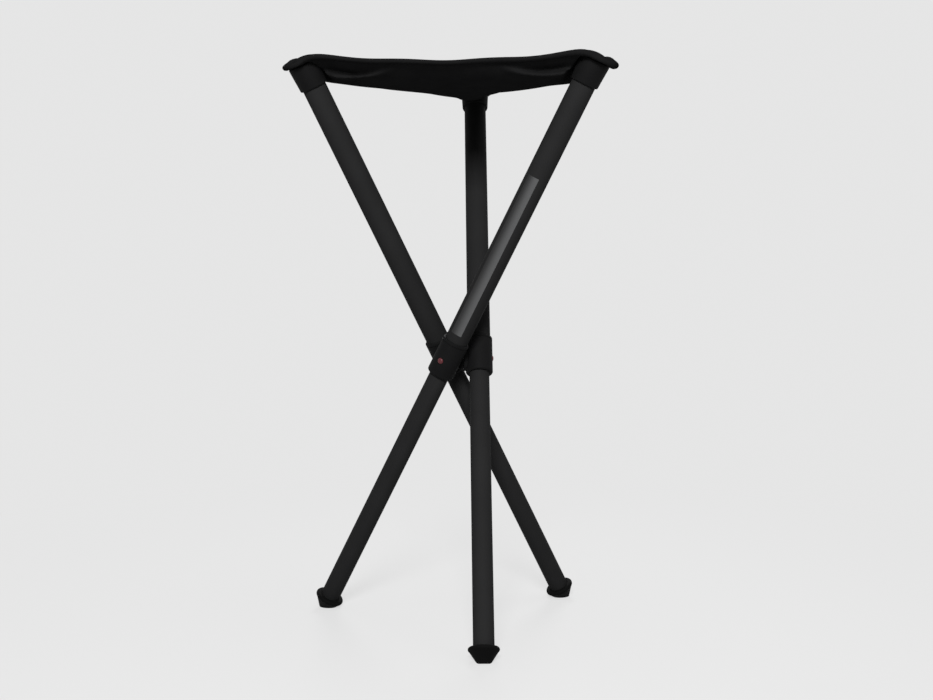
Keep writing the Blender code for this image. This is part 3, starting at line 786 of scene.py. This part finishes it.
def makePanel(leg, rim, bowls):
    columns, rows = len(rim) - 1, sz["rows"]

    def clothPlace(column, row):
        return clothPoint(rim[column], 1 - (1 - row / rows) ** sz["rowPower"], bowls[column])

    panel = formGrid("seatPanel_" + leg, columns, rows, clothPlace)
    weldAndTurn(panel)
    mapFlat(panel)
    area = sum(face.area for face in panel.data.polygons)
    addThickness(panel, sz["thickness"], offset=0)
    smooth(panel, sz["smooth"])
    giveFinish(panel, seatCloth)
    return panel, area


hemSizes = {"around": 20, "wide": 0.0034, "thick": 0.0023, "square": 2.6, "lineUpAt": 0.96,
            "nubLong": 0.006, "nubThick": 1.5, "nub": {"a": 0.0003, "b": 0.0011, "c": 0.0006},
            "shoulderAt": 0.026, "shoulderLong": 0.018,
            "shoulder": {"a": 0.0003, "b": 0.0008, "c": 0.0002}}


def makeHem(leg, rim, inner):
    # the edge folded over on itself, in line with the cloth, thicker at the tip and beside the leg top
    h = hemSizes
    columns = len(rim) - 1
    tip = rim[columns // 2]

    def hemPlace(column, row):
        before, after = rim[max(0, column - 1)], rim[min(columns, column + 1)]
        way = (after - before).normalized()
        inward = inner[column] - rim[column]
        inward = (inward - inward.dot(way) * way).normalized()
        up = way.cross(inward)
        gap = (rim[column] - tip).length
        nub = h["nub"][leg] * math.exp(-(gap / h["nubLong"]) ** 2)
        shoulder = h["shoulder"][leg] * math.exp(-((gap - h["shoulderAt"]) / h["shoulderLong"]) ** 2)
        wide, thick = h["wide"] + nub, h["thick"] + h["nubThick"] * nub + shoulder
        angle = 2 * math.pi * row / h["around"]
        across, over = math.cos(angle), math.sin(angle)
        reach = (abs(across) ** h["square"] + abs(over) ** h["square"]) ** (-1 / h["square"])
        return rim[column] + reach * (wide * across * inward + thick * over * up)

    hem = formGrid("seatHem_" + leg, columns, h["around"], hemPlace)
    mapFlat(hem)
    weldAndTurn(hem)
    startEditing(hem)
    bpy.ops.mesh.fill_holes(sides=0)
    bpy.ops.mesh.normals_make_consistent(inside=False)
    bpy.ops.object.mode_set(mode="OBJECT")
    smooth(hem, sz["smooth"])
    giveFinish(hem, hemCloth)
    return hem


stitchSizes = {"long": 0.0026, "pitch": 0.0036, "wide": 0.00055, "high": 0.00045, "inset": 0.0030,
               "lift": 0.00015, "lineUpStep": 0.004, "sides": 8, "rings": 5}


def makeStitches(leg, rim, bowls):
    # one row of thread on each side of the cloth, close inside the hem
    n = stitchSizes
    clearSelection()
    bpy.ops.mesh.primitive_uv_sphere_add(segments=n["sides"], ring_count=n["rings"], radius=0.5)
    master = bpy.context.object
    master.scale = (n["long"], n["wide"], n["high"])
    bpy.ops.object.transform_apply(location=False, rotation=False, scale=True)
    line = []
    for point, bowl in zip(rim, bowls):
        share = 1 - n["inset"] / point.to_2d().length
        line.append((clothPoint(point, share, bowl), clothPoint(point, share - n["lineUpStep"], bowl)))
    copies = []
    toNext = n["pitch"] / 2
    for (here, inside), (there, _) in zip(line, line[1:]):
        step = there - here
        along = step.normalized()
        up = along.cross(inside - here).normalized()
        up = up if up.z > 0 else -up
        side = up.cross(along)
        turn = Matrix((along, side, up)).transposed().to_4x4()
        while toNext < step.length:
            for face in (1, -1):
                lift = face * (sz["thickness"] / 2 + n["lift"])
                copy = bpy.data.objects.new("stitch", master.data.copy())
                copy.data.transform(Matrix.Translation(here + along * toNext + up * lift) @ turn)
                bpy.context.scene.collection.objects.link(copy)
                copies.append(copy)
            toNext += n["pitch"]
        toNext -= step.length
    bpy.data.objects.remove(master, do_unlink=True)
    clearSelection()
    for copy in copies:
        copy.select_set(True)
    bpy.context.view_layer.objects.active = copies[0]
    bpy.ops.object.join()
    stitches = bpy.context.object
    stitches.name = "seatStitches_" + leg
    smooth(stitches, sz["smooth"])
    giveFinish(stitches, sewingThread)
    print(stitches.name, len(copies))
    return stitches


def makeSeat():
    hemRims = rimSectors(0.0)
    bowlsOf = bowlPowers(clothRims)
    for leg in cornerOrder:
        rim, bowls = clothRims[leg], bowlsOf[leg]
        panel, area = makePanel(leg, rim, bowls)
        inner = [clothPoint(point, hemSizes["lineUpAt"], bowl) for point, bowl in zip(rim, bowls)]
        hem = makeHem(leg, hemRims[leg], inner)
        stitches = makeStitches(leg, rim, bowls)
        for piece, node, slot in ((panel, "seat_cloth", "black_cloth"), (hem, "seat_binding", "black_tape"),
                                  (stitches, "seat_binding", "black_tape")):
            blendSeat(piece)
            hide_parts(node)
        print("seat panel", leg, "area", round(area, 5))


makeSeat()


# bare strip on the outer tube of leg b

labelSizes = {"low": 0.0335, "high": 0.2195, "halfAngle": math.radians(29), "turn": math.radians(7),
              "radius": 0.01256, "thickness": 0.00012, "columns": 16, "rows": 60}
# the foil's two colours are painted reflection, dark on one side of the strip and light on the other, not
# the foil's own tone
labelLook = {"left": (0.018, 0.018, 0.0185), "right": (0.095, 0.096, 0.098), "roughness": (0.46, 0.58),
             "grain": 900.0, "detail": 3.0, "drawnOut": (1.0, 0.02, 1.0), "uneven": 0.24, "reflectionTurnAt": 0.52,
             "reflectionTurnHalf": 0.5, "specular": 0.3, "metallic": 0.25}


# brushed foil with a painted reflection: a colour gradient across the strip, dark grey on one side and light
# silver on the other where reflected light is painted in, the grain drawn out along the strip
def foilFinish(name, look):
    # brushed foil, darker on one side, drawn out along the strip
    finish, tree, shader = newFinish(name)
    flat = tree.nodes.new("ShaderNodeUVMap")
    flat.uv_map = "UVMap"
    parts = tree.nodes.new("ShaderNodeSeparateXYZ")
    tree.links.new(flat.outputs["UV"], parts.inputs["Vector"])
    # the painted reflection's gradient across the strip's width
    across = tree.nodes.new("ShaderNodeMapRange")
    across.interpolation_type = "SMOOTHSTEP"
    across.inputs["From Min"].default_value = look["reflectionTurnAt"] - look["reflectionTurnHalf"]
    across.inputs["From Max"].default_value = look["reflectionTurnAt"] + look["reflectionTurnHalf"]
    tree.links.new(parts.outputs["X"], across.inputs["Value"])
    stretch = tree.nodes.new("ShaderNodeMapping")
    stretch.inputs["Scale"].default_value = look["drawnOut"]
    tree.links.new(flat.outputs["UV"], stretch.inputs["Vector"])
    brushed = tree.nodes.new("ShaderNodeTexNoise")
    brushed.inputs["Scale"].default_value = look["grain"]
    brushed.inputs["Detail"].default_value = look["detail"]
    tree.links.new(stretch.outputs["Vector"], brushed.inputs["Vector"])
    uneven = addMath(tree, "MULTIPLY_ADD", brushed.outputs["Fac"], look["uneven"])
    uneven.node.inputs[2].default_value = -look["uneven"] / 2
    share = addMath(tree, "ADD", across.outputs["Result"], uneven)
    tree.links.new(mixColours(tree, share, look["left"], look["right"]), shader.inputs["Base Color"])
    low, high = look["roughness"]
    tree.links.new(spread(tree, brushed.outputs["Fac"], low, high), shader.inputs["Roughness"])
    shader.inputs["Specular IOR Level"].default_value = look["specular"]
    shader.inputs["Metallic"].default_value = look["metallic"]
    return finish


def makeLabel():
    n = labelSizes

    def stripPlace(column, row):
        angle = n["turn"] + n["halfAngle"] * (2 * column / n["columns"] - 1)
        height = n["low"] + (n["high"] - n["low"]) * row / n["rows"]
        return Vector((n["radius"] * math.cos(angle), n["radius"] * math.sin(angle), height))

    strip = formGrid("bareStrip", n["columns"], n["rows"], stripPlace)
    weldAndTurn(strip)
    addThickness(strip, n["thickness"], offset=1)
    smooth(strip)
    strip.data.transform(legPlace["b"])
    giveFinish(strip, foilFinish("plainFoil", labelLook))
    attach(strip, "upper_leg_b")


makeLabel()


# floor, light and camera

stageLook = {"tone": 0.788, "floorTone": 0.88, "near": 0.30, "far": 0.9, "nearShare": 0.8, "size": 9.0,
             "bounce": 0.42}
worldLook = {"light": 0.14}
lamps = [{"name": "frontSoftbox", "at": (-0.15, -2.1, 1.50), "aim": (0, 0, 0.4), "size": 0.6, "power": 54},
         {"name": "topSoftbox", "at": (0.4, 0.1, 2.4), "aim": (0, 0, 0.3), "size": 1.8, "power": 14},
         {"name": "backSoftbox", "at": (0.2, 2.3, 1.75), "aim": (0, 0, 0.4), "size": 0.8, "power": 34}]
cameraView = {"at": (0.0097, -1.4829, 0.4085), "pitchDown": 4.309, "turn": -1.3845, "roll": 0.05,
              "lens": 52.97, "sensor": 36.0}


def grey(tone):
    return (tone, tone, tone)


def seenPlain(tree):
    # camera, glossy and transmitted rays see the plain pale tone, other rays the lit floor
    path = tree.nodes.new("ShaderNodeLightPath")
    seen = addMath(tree, "MAXIMUM", path.outputs["Is Camera Ray"], path.outputs["Is Glossy Ray"])
    return addMath(tree, "MAXIMUM", seen, path.outputs["Is Transmission Ray"])


def makeStage():
    clearSelection()
    bpy.ops.mesh.primitive_plane_add(size=stageLook["size"], location=(0, 0, 0))
    floor = bpy.context.object
    floor.name = "paleFloor"
    finish, tree, shader = newFinish("paleFloor")
    tree.nodes.remove(shader)
    output = tree.nodes["Material Output"]
    matt = tree.nodes.new("ShaderNodeBsdfDiffuse")
    seen = seenPlain(tree)
    floorColour = mixColours(tree, seen, grey(stageLook["bounce"]), grey(stageLook["floorTone"]))
    tree.links.new(floorColour, matt.inputs["Color"])
    plain = tree.nodes.new("ShaderNodeEmission")
    plain.inputs["Color"].default_value = (*grey(stageLook["tone"]), 1)
    place = tree.nodes.new("ShaderNodeTexCoord")
    length = tree.nodes.new("ShaderNodeVectorMath")
    length.operation = "LENGTH"
    tree.links.new(place.outputs["Object"], length.inputs[0])
    away = tree.nodes.new("ShaderNodeMapRange")
    away.interpolation_type = "SMOOTHSTEP"
    away.inputs["From Min"].default_value = stageLook["near"]
    away.inputs["From Max"].default_value = stageLook["far"]
    away.inputs["To Min"].default_value = stageLook["nearShare"]
    tree.links.new(length.outputs["Value"], away.inputs["Value"])
    share = addMath(tree, "MULTIPLY", away.outputs["Result"], seen)
    mix = tree.nodes.new("ShaderNodeMixShader")
    tree.links.new(share, mix.inputs["Fac"])
    tree.links.new(matt.outputs["BSDF"], mix.inputs[1])
    tree.links.new(plain.outputs["Emission"], mix.inputs[2])
    tree.links.new(mix.outputs["Shader"], output.inputs["Surface"])
    floor.data.materials.append(finish)


def makeWorld():
    world = bpy.data.worlds.new("studio")
    bpy.context.scene.world = world
    world.use_nodes = True
    tree = world.node_tree
    colour = mixColours(tree, seenPlain(tree), grey(worldLook["light"]), grey(stageLook["tone"]))
    tree.links.new(colour, tree.nodes["Background"].inputs["Color"])


def makeLamps():
    for lamp in lamps:
        light = bpy.data.lights.new(lamp["name"], "AREA")
        light.shape = "SQUARE"
        light.size = lamp["size"]
        light.energy = lamp["power"]
        holder = bpy.data.objects.new(lamp["name"], light)
        bpy.context.scene.collection.objects.link(holder)
        holder.location = lamp["at"]
        towards = Vector(lamp["aim"]) - Vector(lamp["at"])
        holder.rotation_euler = towards.to_track_quat("-Z", "Y").to_euler()


def makeCamera():
    lens = bpy.data.cameras.new("photoCamera")
    lens.lens = cameraView["lens"]
    lens.sensor_width = cameraView["sensor"]
    lens.sensor_fit = "HORIZONTAL"
    camera = bpy.data.objects.new("photoCamera", lens)
    bpy.context.scene.collection.objects.link(camera)
    turn = Matrix.Rotation(math.radians(cameraView["turn"]), 4, "Z")
    tilt = Matrix.Rotation(math.radians(90 - cameraView["pitchDown"]), 4, "X")
    roll = Matrix.Rotation(math.radians(cameraView["roll"]), 4, "Z")
    camera.matrix_world = turn @ Matrix.Translation(cameraView["at"]) @ tilt @ roll
    bpy.context.scene.camera = camera


makeStage()
makeWorld()
makeLamps()
makeCamera()
bpy.context.scene.view_settings.view_transform = "Standard"
clearSelection()
print("stage, light and camera set")
